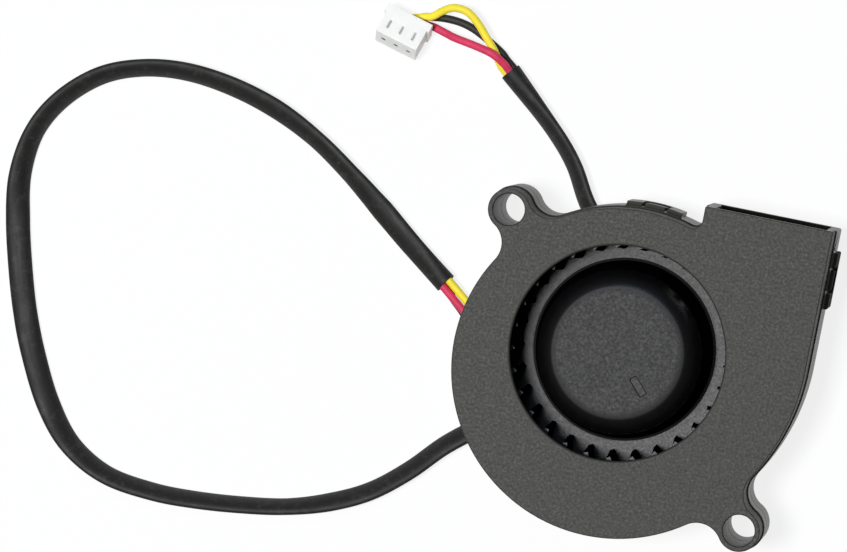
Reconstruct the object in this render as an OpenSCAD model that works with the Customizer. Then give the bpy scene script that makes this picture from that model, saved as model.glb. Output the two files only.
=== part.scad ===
// Radial fan with a snapped-on inlet cover, an inside-out motor and a three-wire lead.
// The origin is the centre of the inlet on the front face. Z points out of the inlet,
// Y points out of the outlet, and the back face lies at -case_t.

/* [Housing] */
// Thickness from the front face to the back face
case_t = 15; // [15:0.5:20]
// Height of the inlet cover, down to the parting line
cover_h = 9; // [8:0.5:10]
// Radius of the scroll wall, measured on the cover
scroll_r = 23.6; // [23.4:0.1:25]
// How much that radius closes in on the half towards the outlet
scroll_step = 0.6; // [0.4:0.1:0.8]
// Sideways offset of the scroll centre from the rotor axis
scroll_dx = 0.5; // [0:0.1:0.8]
// Offset of the scroll centre from the rotor axis, away from the outlet
scroll_dy = 2.6; // [2:0.1:2.7]
// Angle below the X axis at which the scroll opens towards the outlet wall
scroll_blend = 50; // [44:1:60]
// Distance from the rotor axis to the straight outlet wall
wall_x = 26.5; // [26.2:0.1:29]
// Distance from the rotor axis to the outlet plane
outlet_y = 22.8; // [22.6:0.1:30]
// Width of the outlet outside, measured on the cover
outlet_w = 18.3; // [16:0.1:18.5]
// Radius of the inside corner between the outlet and the scroll
outlet_fillet = 1.4; // [1:0.1:2.5]
// Thickness of the scroll wall
wall = 1.2; // [1:0.1:1.4]
// Thickness of the front plate
plate_t = 1.2; // [0.8:0.1:1.5]
// Thickness of the base floor
floor_t = 1.4; // [1:0.1:1.8]
// Depth of the step round the cover below the front face
ledge = 5; // [4:0.5:6]
// Width of that step: the cover below it and the base stand out
rim = 0.25; // [0.2:0.05:0.6]
// Diameter of the inlet
inlet_d = 30.5; // [29:0.5:34]
// Chamfer round the inlet edge
inlet_chamfer = 0.2; // [0.1:0.1:0.6]
// Diameter of the shallow round recess in the back
recess_d = 25; // [20:0.5:26]
// Depth of that recess
recess_depth = 0.3; // [0.1:0.05:0.4]

/* [Mounting ears] */
// Direction of the ear beside the lead, about the scroll centre
ear_a_angle = 135; // [130:0.1:140]
// Distance of its hole beyond the scroll wall
ear_a_out = 3.95; // [3.6:0.05:4.2]
// Direction of the ear on the outlet side, about the scroll centre
ear_b_angle = -41.1; // [-46:0.1:-36]
// Distance of its hole beyond the scroll wall
ear_b_out = 4.5; // [4.2:0.05:4.8]
// Diameter of the mounting holes
ear_hole_d = 4.5; // [3:0.1:4.7]
// Outer radius of an ear
ear_r = 3; // [2.9:0.1:3.5]
// Radius of the inside corners between an ear and the scroll
ear_fillet = 3.5; // [2:0.1:4.5]

/* [Snap clips] */
// Length of a clip along the wall
clip_len = 8.1; // [7:0.1:9]
// Width of the catch between the two legs of a loop
catch_len = 2.9; // [2:0.1:3.5]
// Gap between the catch and each leg of the loop
clip_gap = 0.4; // [0.2:0.1:0.8]
// Thickness of the loop outside the base wall
loop_t = 0.65; // [0.5:0.05:1]
// Angle of the clip on the scroll
clip_angle = 88; // [84:0.5:90]
// Distance of the clip on the outlet wall from the outlet plane, to its middle
clip_back = 7.2; // [5:0.1:10]
// Height of the bar that closes the lower end of a loop
loop_bar = 1.6; // [1:0.1:2]
// How far a loop reaches below the parting line
loop_drop = 4; // [3.5:0.5:4.5]

/* [Impeller] */
// Outer diameter over the blades
impeller_d = 37; // [36:0.5:37.5]
// Number of blades
blade_count = 29; // [21:1:33]
// Thickness of a blade
blade_t = 0.6; // [0.4:0.05:0.8]
// Radius of the curve of a blade
blade_curve = 4.2; // [3.6:0.1:8]
// Angle by which a blade leads from its root to its tip
blade_lead = 6; // [2:0.5:9]
// Inner radius of the blades at the disc
blade_root_r = 14.4; // [14:0.1:15.5]
// Outward lean of the inner blade edge, from the disc to the top
blade_lean = 0.7; // [0:0.1:1]
// Depth of the blade tops below the front face
blade_top = 2.6; // [2:0.1:4]
// Gap between the impeller and the base floor
impeller_gap = 1.3; // [0.8:0.1:2]
// Thickness and width of the ring that ties the blade tops
shroud = 0.9; // [0.6:0.1:1.4]
// Depth of the hub top below the front face
hub_top = 0.5; // [0.2:0.1:1.2]
// Radius of the flat hub top
hub_flat_r = 9.2; // [8.8:0.1:9.6]
// Radius of the rounded hub edge
hub_round = 2.6; // [2:0.1:3]
// Hub radius where it meets the disc
hub_r = 12.9; // [12.2:0.1:13.4]
// Height of the disc above the base floor
disc_lift = 3.6; // [3.4:0.1:4.6]
// Thickness of the disc
disc_t = 1; // [0.8:0.1:1.4]

/* [Motor] */
// Shaft diameter
shaft_d = 2; // [1.5:0.1:2.4]
// Radial running clearance of the shaft
run_gap = 0.03; // [0.02:0.01:0.06]
// Radial clearance of pressed and bonded pieces
press_gap = 0.02; // [0.01:0.01:0.04]
// Outer diameter of the sleeve bearing
bearing_d = 4.8; // [4.4:0.1:5]
// Wall of the bearing tube
tube_t = 0.6; // [0.4:0.05:0.7]
// Outer diameter of the steel yoke
yoke_d = 21.2; // [20.6:0.1:21.4]
// Thickness of the steel yoke
yoke_t = 0.7; // [0.5:0.05:0.9]
// Radial thickness of the magnet ring
magnet_t = 1.4; // [1:0.1:1.6]
// Air gap between the magnet and the stator
air_gap = 0.4; // [0.25:0.05:0.6]
// Height of the lamination stack
stack_h = 4; // [3:0.1:4.4]
// Width of a stator tooth
tooth_w = 2.2; // [1.6:0.1:2.6]
// Thickness of a pole shoe
shoe_t = 0.9; // [0.6:0.1:1.1]
// Thickness of the insulator over the teeth
insulator_t = 0.35; // [0.25:0.05:0.5]
// Build of a winding on its tooth
coil_t = 0.75; // [0.5:0.05:0.85]
// Diameter of the circuit board
board_d = 20; // [18:0.2:20.6]
// Thickness of the circuit board
board_t = 0.8; // [0.6:0.1:1]

/* [Lead] */
// Diameter of a wire
wire_d = 1.15; // [1:0.05:1.2]
// Diameter of the sleeve over the wires
sleeve_d = 2.7; // [2.6:0.1:2.9]
// Clearance of each wire in the trough under the base
trough_gap = 0.1; // [0.05:0.05:0.2]

/* [Connector] */
// Pitch of the contacts
contact_pitch = 2; // [1.9:0.05:2.1]
// Width of the housing in front of its flange
plug_w = 6.5; // [6:0.1:6.7]
// Width of the rear flange
plug_flange_w = 7.2; // [6.8:0.1:7.8]
// Length of the housing
plug_l = 4.6; // [4.4:0.1:6]
// Thickness of the housing
plug_t = 4.4; // [4:0.1:4.8]
// Length of the rear flange
plug_flange_l = 1.3; // [1:0.1:1.6]
// Width and height of a contact chamber
chamber = 1.5; // [1.3:0.05:1.6]
// Wall in front of the contacts
plug_front = 0.8; // [0.5:0.1:1]
// Opening for a pin in that wall
pin_hole = 0.55; // [0.5:0.05:0.8]
// Length of the window over each contact's spring tongue
window_l = 1.3; // [1:0.1:1.6]
// Width of that window
window_w = 0.3; // [0.2:0.05:0.6]

/* [Hidden] */
$fn = 96;
eps = 0.01;
tiny = 0.05;

// Levels along Z
z_back = -case_t;
z_floor = z_back + floor_t;
z_parting = -cover_h;
z_disc = z_floor + disc_lift;
z_impeller = z_floor + impeller_gap;
// The fan lies on its own lead, so the surface is one sleeve below the back
lead_gap = 0.1;
z_surface = z_back - lead_gap - sleeve_d;

// Scroll outline: two half discs, an arc that opens from them and the straight outlet wall
scroll_c = [scroll_dx, -scroll_dy];
blend_dir = [cos(scroll_blend), -sin(scroll_blend)];
blend_r = (wall_x - scroll_c.x - scroll_r * blend_dir.x) / (1 - blend_dir.x);
// Arcs that follow on from each other lap by a hair, so that they cross and don't just touch
arc_lap = 0.01;
blend_lap = arc_lap * [1, -(1 + blend_dir.x) / blend_dir.y];
blend_c = scroll_c - (blend_r - scroll_r) * blend_dir + blend_lap;
upper_r = scroll_r - scroll_step;
upper_c = scroll_c - [scroll_step - arc_lap, 0];
outlet_x = wall_x - outlet_w;
corner_x = outlet_x - outlet_fillet + arc_lap;
corner_c = [corner_x,
            upper_c.y + sqrt(pow(upper_r + outlet_fillet - arc_lap, 2) - pow(corner_x - upper_c.x, 2))];
ear_a = scroll_c + (scroll_r + ear_a_out) * [cos(ear_a_angle), sin(ear_a_angle)];
ear_b = scroll_c + (scroll_r + ear_b_out) * [cos(ear_b_angle), sin(ear_b_angle)];

// Snap clips
loop_gap = 0.05;
loop_in = rim + loop_gap;
loop_out = loop_in + loop_t;
loop_inset = 0.3;
loop_top = ledge + loop_inset;
slope_land = 0.1;
catch_share = 0.7;
catch_proud = loop_in + loop_t * catch_share;
catch_top = loop_drop - loop_bar - loop_gap;
catch_step = 0.5;

// Rotor
impeller_r = impeller_d / 2;
ring_inset = 0.2;
blade_tip_r = impeller_r - ring_inset;
z_ring = -blade_top - ring_inset;
hub_wall_top = hub_top + hub_round;
top_t = 1.2;
z_hub_inside = -hub_top - top_t;
blade_pitch = 360 / blade_count;
blade_phase = 1;
disc_r = impeller_r - shroud - ring_inset;
bush_t = 1;
bush_h = 2;
bush_r = shaft_d / 2 + bush_t;
boss_wall = 0.8;
mark_size = [3.1, 1.2];
mark_r = 5.5;
mark_angle = -47;
mark_depth = 0.15;
yoke_r = yoke_d / 2;
z_yoke = z_hub_inside - press_gap;
yoke_inset = 0.6;
z_yoke_end = z_disc - disc_t + yoke_inset;
magnet_r = yoke_r - yoke_t - press_gap;
magnet_drop = 1;
z_magnet = z_yoke - yoke_t - magnet_drop;
magnet_inset = 0.2;
z_magnet_end = z_yoke_end + magnet_inset;

// Stator and bearing
stator_r = magnet_r - magnet_t - air_gap;
tube_in = bearing_d / 2 + press_gap;
tube_out = tube_in + tube_t;
core_in = tube_out + press_gap;
core_ring_t = 1.3;
core_ring = core_in + core_ring_t;
pole_count = 4;
pole_gap = 18;
well_t = 0.8;
z_well = z_back + well_t;
pad_t = 0.3;
pad_inset = 0.2;
z_pad = z_well + pad_t;
shaft_end_gap = 0.05;
z_shaft_end = z_pad + shaft_end_gap;
groove_h = 0.35;
groove_depth = 0.3;
clip_play = 0.03;
clip_reach = 0.8;
groove_lift = 0.4;
z_groove = z_shaft_end + groove_lift;
clip_room = 0.15;
z_bearing = z_groove + groove_h + clip_room;
bush_room = 0.9;
z_bearing_top = z_hub_inside - bush_h - bush_room;
washer_t = 0.25;
z_tube_top = z_bearing_top + washer_t;
board_lift = 1.6;
z_board = z_floor + board_lift;
boss_t = 1.4;
boss_r = tube_out + boss_t;
z_stack_mid = (z_magnet + z_magnet_end) / 2;
z_stack_top = z_stack_mid + stack_h / 2;
z_stack = z_stack_mid - stack_h / 2;
coil_room_in = 0.25;
coil_room_out = 0.15;
coil_in = core_ring + coil_room_in;
coil_gap = 0.05;
coil_half = tooth_w / 2 + insulator_t + coil_gap + coil_t;
coil_out = sqrt(pow(stator_r - shoe_t - coil_room_out, 2) - pow(coil_half, 2));
post_r = 0.45;
post_inset = 0.7;
post_pcd = 2 * (core_ring - post_inset);
board_r = board_d / 2;
board_seat = 0.9;
board_hole = boss_r - board_seat;

// Small parts on the board: length, width, height
hall_size = [2.9, 1.5, 0.6];
hall_inset = 1;
hall_r = board_r - hall_inset;
hall_angle = 45;
chip_size = [4.6, 3, 1.1];
chip_inset = 2;
chip_r = board_r - chip_inset;
chip_angle = 80;
small_size = [1.6, 0.8, 0.5];
small_inset = 1.5;
small_r = board_r - small_inset;
small_angles = [-80, -55, 20];

// Trough for the wires, under a hump in the floor
wire_count = 3;
trough_y = 1.2;
trough_w = wire_count * (wire_d + trough_gap) + trough_gap;
trough_h = wire_d + 2 * trough_gap;
hump_t = 0.7;
slot_in = 7.4;
slot_out = 13.5;

// Connector: where it lies, its turn and its pitch
plug_at = [-40.4, 39.35];
plug_turn = 164.5;
plug_pitch = 22;
contact_mid = plug_t / 2;
barrel_gap = 0.12;
window_inset = 0.3;
window_front = plug_front + window_inset;

// Lead route. Each point is X, Y and the height above the surface
sleeve_route = [
    [-27.8, 3.7, 1.8], [-33.6, 7.9, 1.4], [-38.9, 12.1, 1.35], [-44.5, 16.4, 1.35], [-50.5, 20.4, 1.35],
    [-57, 23.5, 1.35], [-64, 25.5, 1.35], [-71, 26.3, 1.35], [-77.5, 25.6, 1.35], [-83.4, 23.3, 1.35],
    [-88.4, 18.9, 1.35], [-91.5, 13.5, 1.35], [-92.5, 7, 1.35], [-91.7, 0.5, 1.35], [-90, -6.5, 1.35],
    [-88, -13, 1.35], [-85.5, -19, 1.35], [-82, -25.5, 1.35], [-77.6, -30.6, 1.35],
    [-71.6, -33.8, 1.35], [-64.5, -34.8, 1.35], [-58, -34.7, 1.35], [-51, -34, 1.35],
    [-44.5, -32.9, 1.35], [-38.5, -31, 1.35], [-32.9, -28.2, 1.35], [-27.9, -24.1, 1.35], [-23, -19, 1.35],
    [-17, -14.5, 1.35], [-10, -11, 1.35], [-3, -8, 1.35], [3.5, -4.5, 1.35], [7, 1, 1.35],
    [6, 7.5, 1.35], [1, 12, 1.35], [-5, 14.5, 1.35], [-9.5, 18.5, 1.35], [-12.9, 24.1, 1.35],
    [-16.9, 28.6, 1.35], [-24.5, 35.5, 1.6]];
yellow_fan_end = [
    [-8.2, 2.45, 5.15], [-11, 2.45, 4.5], [-14, 2.45, 3.5], [-15.5, 2.3, 3.45], [-17.5, 1.75, 2.95],
    [-19.5, 0.85, 2.1], [-21.5, 0.35, 1.75], [-23, 0.8, 1.7], [-24.3, 1.7, 1.9], [-27.25, 4.1, 2.2]];
red_fan_end = [
    [-8.2, 1.2, 5.15], [-11, 1.2, 4.5], [-14, 1.2, 3.5], [-16, 0.97, 3.05], [-18, 0.25, 1.95],
    [-19.8, -0.6, 1.8], [-21.8, -0.9, 1.75], [-23.4, -0.45, 1.8], [-24.7, 0.45, 1.95], [-27.95, 3.1, 2.2]];
black_fan_end = [
    [-8.2, -0.05, 5.15], [-11, -0.05, 4.5], [-14, -0.05, 3.5], [-15.5, -0.13, 2.8], [-16.5, -0.2, 1.6],
    [-18, -1, 1], [-20, -1.7, 0.8], [-22, -1.65, 0.65], [-23.7, -0.95, 0.65], [-25.1, 0.35, 0.7],
    [-26.6, 1.8, 0.85], [-27.65, 3.45, 1.05]];
yellow_plug_end = [
    [-25, 35.1, 1.2], [-26, 36.05, 1.7], [-27.2, 37.9, 2.35], [-28.65, 39.6, 2.7], [-30.2, 41.35, 3],
    [-31.9, 42.7, 3.4], [-33.7, 43, 3.4], [-34.8, 42.7, 3.2], [-35.9, 42, 2.8], [-36.5, 41.5, 2.45],
    [-37.1, 41.1, 2.15], [-37.6, 40.95, 1.95], [-38.2, 40.85, 1.85], [-38.95, 40.55, 1.85],
    [-39.6, 40.4, 1.85], [-40.15, 40.15, 2.05], [-40.35, 39.6, 2.25], [-40.75, 38.2, 2.85]];
red_plug_end = [
    [-24.6, 35.6, 2.35], [-25.7, 36.6, 3], [-27.5, 37.6, 3.7], [-30.2, 38.2, 3.1], [-33.2, 38.7, 2.4],
    [-34.55, 39.05, 1.9], [-35.6, 39.35, 1.7], [-36.5, 39.6, 1.5], [-37.2, 39.7, 1.45],
    [-37.8, 39.7, 1.75], [-38.25, 39.55, 2.05], [-38.4, 39.05, 2.25], [-38.8, 37.65, 2.85]];
black_plug_end = [
    [-24.15, 36.05, 1.2], [-25.35, 37, 1.15], [-26.5, 38, 1.05], [-29.5, 39.75, 0.9], [-31.4, 40.6, 0.8],
    [-33.3, 41.05, 0.75], [-35.45, 41.25, 0.7], [-37.5, 41.25, 0.65], [-38.2, 41.15, 0.65],
    [-38.7, 40.9, 0.65], [-39.2, 40.45, 0.65], [-39.75, 40.2, 0.65], [-40.7, 40.45, 0.65],
    [-41.35, 40.8, 0.85], [-41.75, 41, 1.4], [-42.05, 40.75, 1.95], [-42.25, 40.15, 2.25],
    [-42.65, 38.7, 2.85]];

// Helpers for the plan outline

// Centre of the circle of radius f that touches two circles from outside
function touch_c(a, ra, b, rb, f, side) =
    let (u = (b - a) / norm(b - a), d = norm(b - a),
         x = (d * d + pow(ra + f, 2) - pow(rb + f, 2)) / (2 * d),
         y = side * sqrt(pow(ra + f, 2) - x * x))
    a + x * u + y * [-u.y, u.x];

// Scroll and outlet, grown by d all round
module scroll(d, mouth = 0) {
    far = 2 * blend_r;
    intersection() {
        translate(scroll_c) circle(r = scroll_r + d);
        translate(scroll_c - [far, far]) square([2 * far, far]);
    }
    intersection() {
        translate(upper_c) circle(r = upper_r + d);
        translate(scroll_c - [far, tiny]) square([2 * far, far]);
    }
    intersection() {
        union() {
            intersection() {
                translate(blend_c) circle(r = blend_r + d);
                polygon([blend_c, blend_c + far * blend_dir, blend_c + [far, 0]]);
            }
            translate([outlet_x - d, blend_c.y - tiny])
                square([far, outlet_y + mouth - blend_c.y + tiny]);
        }
        translate([-far, -far]) square([far + wall_x + d, 2 * far]);
    }
}

// Inside corner left between a circle of the outline and a neighbour
module web(c, foot, f_c, f, d) {
    difference() {
        polygon([c, foot, f_c]);
        translate(f_c) circle(r = f - d);
    }
}

// Neck of an ear, between its two inside corners
module neck(e, c) {
    inward = (c - e) / norm(c - e);
    across = ear_r / 4 * [-inward.y, inward.x];
    depth = 2 * ear_r * inward;
    polygon([e - across, e + across, e + across + depth, e - across + depth]);
}

// Ear with an inside corner on each side
module ear(e, c_left, r_left, c_right, r_right, d) {
    translate(e) circle(r = ear_r + d);
    neck(e, c_right);
    f = ear_fillet - arc_lap;
    web(c_left, e, touch_c(c_left, r_left, e, ear_r, f, 1), ear_fillet, d);
    web(c_right, e, touch_c(c_right, r_right, e, ear_r, f, -1), ear_fillet, d);
}

// Whole plan outline of a housing half, grown by d
module plan(d) {
    scroll(d);
    web(upper_c, [outlet_x + wall, corner_c.y], corner_c, outlet_fillet, d);
    ear(ear_a, upper_c, upper_r, upper_c, upper_r, d);
    ear(ear_b, blend_c, blend_r, scroll_c, scroll_r, d);
}

// Hollow of the scroll, open past the outlet plane
module hollow() scroll(-wall, 2 * wall);

module ear_holes(z, h) {
    for (e = [ear_a, ear_b])
        translate([e.x, e.y, z]) cylinder(h = h, d = ear_hole_d);
}

// Strip of the wall between two offsets, along each of the two clips
module clip_strip(d_in, d_out, from, to) {
    intersection() {
        difference() {
            scroll(d_out);
            scroll(d_in);
        }
        union() {
            translate(upper_c) rotate(clip_angle)
                translate([upper_r - wall, from]) square([wall + 2 * loop_out, to - from]);
            translate([wall_x - wall, outlet_y - clip_back + from])
                square([wall + 2 * loop_out, to - from]);
        }
    }
}

module slab(z_from, z_to) {
    translate([0, 0, z_from]) linear_extrude(z_to - z_from) children();
}

module tube_section(r_in, r_out, z_from, z_to) {
    translate([0, 0, z_from]) difference() {
        cylinder(h = z_to - z_from, r = r_out);
        translate([0, 0, -eps]) cylinder(h = z_to - z_from + 2 * eps, r = r_in);
    }
}

// Housing

module snap_loops() {
    leg_in = catch_len / 2 + clip_gap;
    half = clip_len / 2;
    for (side = [-1, 1])
        slab(z_parting - loop_drop, -loop_top)
            clip_strip(loop_in, loop_out, min(side * leg_in, side * half), max(side * leg_in, side * half));
    slab(z_parting - loop_drop, z_parting - loop_drop + loop_bar)
        clip_strip(loop_in, loop_out, -half, half);
    slab(z_parting, -loop_top) clip_strip(-wall / 2, loop_out, -half, half);
}

// What is taken off the front end of each loop, so that it slopes out from the wall
module loop_slopes() {
    inner = rim + slope_land;
    translate([upper_c.x, upper_c.y, -loop_top - loop_t]) difference() {
        cylinder(h = loop_t + eps, r = upper_r + 2 * loop_out);
        translate([0, 0, -eps])
            cylinder(h = loop_t + 3 * eps, r1 = upper_r + loop_out + eps, r2 = upper_r + inner);
    }
    translate([wall_x, outlet_y, -loop_top]) rotate([90, 0, 0]) linear_extrude(2 * clip_back)
        polygon([[inner, eps], [2 * loop_out, eps], [2 * loop_out, -loop_t], [loop_out, -loop_t]]);
}

module inlet_cover() color("dimgray") {
    difference() {
        union() {
            slab(-ledge - eps, 0) plan(0);
            slab(z_parting, -ledge) plan(rim);
            difference() {
                snap_loops();
                loop_slopes();
            }
        }
        slab(z_parting - eps, -plate_t) hollow();
        translate([0, 0, -plate_t - eps]) cylinder(h = plate_t + 2 * eps, d = inlet_d);
        translate([0, 0, -inlet_chamfer])
            cylinder(h = inlet_chamfer + eps, d1 = inlet_d, d2 = inlet_d + 2 * inlet_chamfer);
        ear_holes(z_parting - eps, cover_h + 2 * eps);
        catch_window();
    }
}

// Window above the catch, and a notch on each side of the block in front of it
module catch_window() {
    inner = catch_len / 2;
    half = inner + clip_gap;
    slab(z_parting - eps, -loop_top - loop_bar) clip_strip(rim, 2 * loop_out, -half, half);
    for (side = [-1, 1])
        slab(-loop_top - loop_bar - eps, -loop_top + eps)
            clip_strip(rim, 2 * loop_out, min(side * inner, side * half), max(side * inner, side * half));
}

module snap_catches() {
    half = catch_len / 2;
    slab(z_parting - catch_top, z_parting - catch_step)
        clip_strip(-wall / 2, catch_proud, -half, half);
}

module base_housing() color("dimgray") {
    difference() {
        union() {
            difference() {
                union() {
                    slab(z_back, z_parting) plan(rim);
                    snap_catches();
                }
                slab(z_floor, z_parting + eps) hollow();
            }
            wire_hump();
            translate([0, 0, z_back]) cylinder(h = z_board - z_back, r = boss_r);
        }
        wire_trough();
        translate([0, 0, z_back - eps]) cylinder(h = recess_depth + eps, d = recess_d);
        ear_holes(z_back - eps, case_t - cover_h + 2 * eps);
        translate([0, 0, z_well]) cylinder(h = z_board - z_well + eps, r = tube_out + press_gap);
    }
}

// Raised strip of the floor over the trough
module wire_hump() {
    slab(z_back, z_back + trough_h + hump_t) intersection() {
        hump_plan(hump_t);
        scroll(0);
    }
}

module hump_plan(d) {
    translate([-slot_out - scroll_r, trough_y - trough_w / 2 - d])
        square([scroll_r, trough_w + 2 * d]);
}

// Trough along the back and the slot by which the wires come up to the board
module wire_trough() {
    slab(z_back - eps, z_back + trough_h) hump_plan(0);
    slab(z_back - eps, z_board)
        translate([-slot_out, trough_y - trough_w / 2]) square([slot_out - slot_in, trough_w]);
}

// Bearing

module bearing_tube() color("goldenrod")
    tube_section(tube_in, tube_out, z_well, z_tube_top);

module sleeve_bearing() color("peru")
    tube_section(shaft_d / 2 + run_gap, bearing_d / 2, z_bearing, z_bearing_top);

module thrust_pad() color("ivory")
    translate([0, 0, z_well]) cylinder(h = pad_t, r = tube_in - pad_inset);

module oil_washer() color("white")
    tube_section(shaft_d / 2 + 5 * run_gap, bearing_d / 2, z_bearing_top, z_bearing_top + washer_t);

// Stator

module pole_tooth(w, r_from, r_to) {
    translate([r_from, -w / 2]) square([r_to - r_from, w]);
}

module stator_core() color("silver") slab(z_stack, z_stack_top) {
    difference() {
        union() {
            circle(r = core_ring);
            for (k = [0:pole_count - 1])
                rotate(k * 360 / pole_count) pole_tooth(tooth_w, core_in + tiny, stator_r - shoe_t / 2);
            pole_shoes();
        }
        circle(r = core_in);
    }
}

module pole_shoes() {
    span = 360 / pole_count - pole_gap;
    for (k = [0:pole_count - 1])
        rotate(k * 360 / pole_count) intersection() {
            difference() {
                circle(r = stator_r);
                circle(r = stator_r - shoe_t);
            }
            polygon([[0, 0], 2 * stator_r * [cos(span / 2), -sin(span / 2)],
                     2 * stator_r * [cos(span / 2), sin(span / 2)]]);
        }
}

// Moulded piece over one end of the stack: a ring and a channel along each tooth
module insulator(z_face, up) {
    reach = stack_h / 2 - coil_gap;
    z_lip = z_face + up * insulator_t;
    z_deep = z_face - up * reach;
    slab(min(z_face, z_lip), max(z_face, z_lip)) difference() {
        union() {
            circle(r = core_ring);
            for (k = [0:pole_count - 1])
                rotate(k * 360 / pole_count)
                    pole_tooth(tooth_w + 2 * insulator_t, core_in + tiny, coil_out);
        }
        circle(r = core_in);
    }
    for (k = [0:pole_count - 1], side = [-1, 1])
        rotate(k * 360 / pole_count)
            slab(min(z_lip, z_deep), max(z_lip, z_deep))
                translate([coil_in, side * (tooth_w + insulator_t + press_gap) / 2 - insulator_t / 2])
                    square([coil_out - coil_in, insulator_t - press_gap]);
}

module upper_insulator() color("ivory") insulator(z_stack_top, 1);

module lower_insulator() color("ivory") {
    insulator(z_stack, -1);
    for (k = [0:pole_count - 1])
        rotate((k + 0.5) * 360 / pole_count)
            translate([post_pcd / 2, 0, z_board + board_t])
                cylinder(h = z_stack - insulator_t / 2 - z_board - board_t, r = post_r);
}

// Winding round the channel of one tooth
module coil(k) {
    w_in = tooth_w + 2 * insulator_t + 2 * coil_gap;
    h_in = stack_h + 2 * insulator_t + 2 * coil_gap;
    color("chocolate") rotate(k * 360 / pole_count)
        translate([coil_in + coil_gap, 0, z_stack_mid]) rotate([90, 0, 90])
            linear_extrude(coil_out - coil_in - 2 * coil_gap) difference() {
                square([w_in + 2 * coil_t, h_in + 2 * coil_t], center = true);
                square([w_in, h_in], center = true);
            }
}

// Circuit board

module circuit_board() color("darkgreen") slab(z_board, z_board + board_t) difference() {
    circle(r = board_r);
    circle(r = board_hole);
}

module on_board(size, r, angle, z) {
    rotate(angle) translate([r - size.y / 2, 0, z + size.z / 2])
        cube([size.y, size.x, size.z], center = true);
}

module hall_sensor() color("black") on_board(hall_size, hall_r, hall_angle, z_board + board_t);

module driver_chip() color("black") on_board(chip_size, chip_r, chip_angle, z_board - chip_size.z);

module chip_parts() color("tan")
    for (a = small_angles) on_board(small_size, small_r, a, z_board - small_size.z);

// Rotor

// Half section of the hub and the disc
module hub_section() {
    difference() {
        union() {
            translate([0, z_disc]) square([hub_flat_r, -hub_top - z_disc]);
            translate([hub_flat_r, -hub_wall_top]) circle(r = hub_round);
            polygon([[0, -hub_wall_top], [hub_flat_r + hub_round, -hub_wall_top],
                     [hub_r, z_disc], [hub_r, z_disc - disc_t], [0, z_disc - disc_t]]);
        }
        translate([0, z_disc - disc_t - eps])
            square([yoke_r + press_gap, z_hub_inside - z_disc + disc_t + eps]);
    }
    translate([0, z_hub_inside - bush_h]) square([bush_r + boss_wall, bush_h + top_t / 2]);
}

// Plan of one blade: an arc strip whose hollow side faces forward
module blade_plan() {
    root = blade_root_r * [1, 0];
    tip = blade_tip_r * [cos(blade_lead), sin(blade_lead)];
    chord = tip - root;
    mid = (root + tip) / 2;
    ahead = [-chord.y, chord.x] / norm(chord);
    c = mid + ahead * sqrt(pow(blade_curve, 2) - pow(norm(chord) / 2, 2));
    intersection() {
        difference() {
            translate(c) circle(r = blade_curve + blade_t / 2);
            translate(c) circle(r = blade_curve - blade_t / 2);
        }
        difference() {
            circle(r = blade_tip_r);
            circle(r = blade_root_r - tiny);
        }
        polygon([[0, 0], 2 * impeller_r * [cos(2 * blade_lead), -sin(2 * blade_lead)],
                 2 * impeller_r * [cos(3 * blade_lead), sin(3 * blade_lead)]]);
    }
}

// Blades, whose inner edges lean outward from the disc to the top
module blades() difference() {
    slab(z_impeller, -blade_top)
        for (k = [0:blade_count - 1]) rotate(blade_phase + k * blade_pitch) blade_plan();
    translate([0, 0, z_disc - disc_t / 2])
        cylinder(h = disc_t / 2 - blade_top - z_disc + eps, r1 = blade_root_r,
                 r2 = blade_root_r + blade_lean);
}

module impeller() color("dimgray") difference() {
    union() {
        rotate_extrude() hub_section();
        tube_section(hub_r - disc_t, disc_r, z_disc - disc_t, z_disc);
        blades();
        tube_section(impeller_r - shroud, impeller_r, z_ring - shroud, z_ring);
    }
    translate([0, 0, z_hub_inside - bush_h - eps]) cylinder(h = bush_h + eps, r = bush_r);
    rotate(mark_angle) translate([mark_r, 0, -hub_top])
        cube([mark_size.x, mark_size.y, 2 * mark_depth], center = true);
}

module rotor_yoke() color("lightsteelblue") {
    tube_section(yoke_r - yoke_t, yoke_r, z_yoke_end, z_yoke);
    tube_section(bush_r + boss_wall + press_gap, yoke_r - yoke_t / 2, z_yoke - yoke_t, z_yoke);
}

module magnet_ring() color("darkslategray")
    tube_section(magnet_r - magnet_t, magnet_r, z_magnet_end, z_magnet);

module shaft_bush() color("goldenrod")
    tube_section(shaft_d / 2, bush_r, z_hub_inside - bush_h, z_hub_inside);

module shaft() color("gainsboro") difference() {
    translate([0, 0, z_shaft_end]) cylinder(h = z_hub_inside - z_shaft_end, d = shaft_d);
    tube_section(shaft_d / 2 - groove_depth, shaft_d, z_groove, z_groove + groove_h);
}

module retaining_clip() color("silver") difference() {
    tube_section(shaft_d / 2 - groove_depth + clip_play, shaft_d / 2 + clip_reach,
                 z_groove + clip_play, z_groove + groove_h - clip_play);
    translate([0, -shaft_d / 4, z_groove]) cube([shaft_d + clip_reach, shaft_d / 2, groove_h]);
}

// Lead

function on_surface(p) = [p.x, p.y, p.z + z_surface];

function heading(p, i) =
    let (n = len(p) - 1, d = p[min(i + 1, n)] - p[max(i - 1, 0)]) d / norm(d);

function ring(p, i, r, sides) =
    let (t = heading(p, i), s = cross(t, [0, 0, 1]) / norm(cross(t, [0, 0, 1])), u = cross(s, t))
    [for (k = [0:sides - 1]) let (a = (k + 0.5) * 360 / sides) p[i] + r * (cos(a) * s + sin(a) * u)];

// Round tube swept along a route
module swept(route, d, sides = 8) {
    p = [for (q = route) on_surface(q)];
    n = len(p);
    points = [for (i = [0:n - 1]) each ring(p, i, d / 2, sides)];
    walls = [for (i = [0:n - 2], k = [0:sides - 1])
        let (a = i * sides + k, b = i * sides + (k + 1) % sides) [a, a + sides, b + sides, b]];
    caps = [[for (k = [0:sides - 1]) k], [for (k = [0:sides - 1]) n * sides - 1 - k]];
    polyhedron(points, concat(walls, caps));
}

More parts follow.
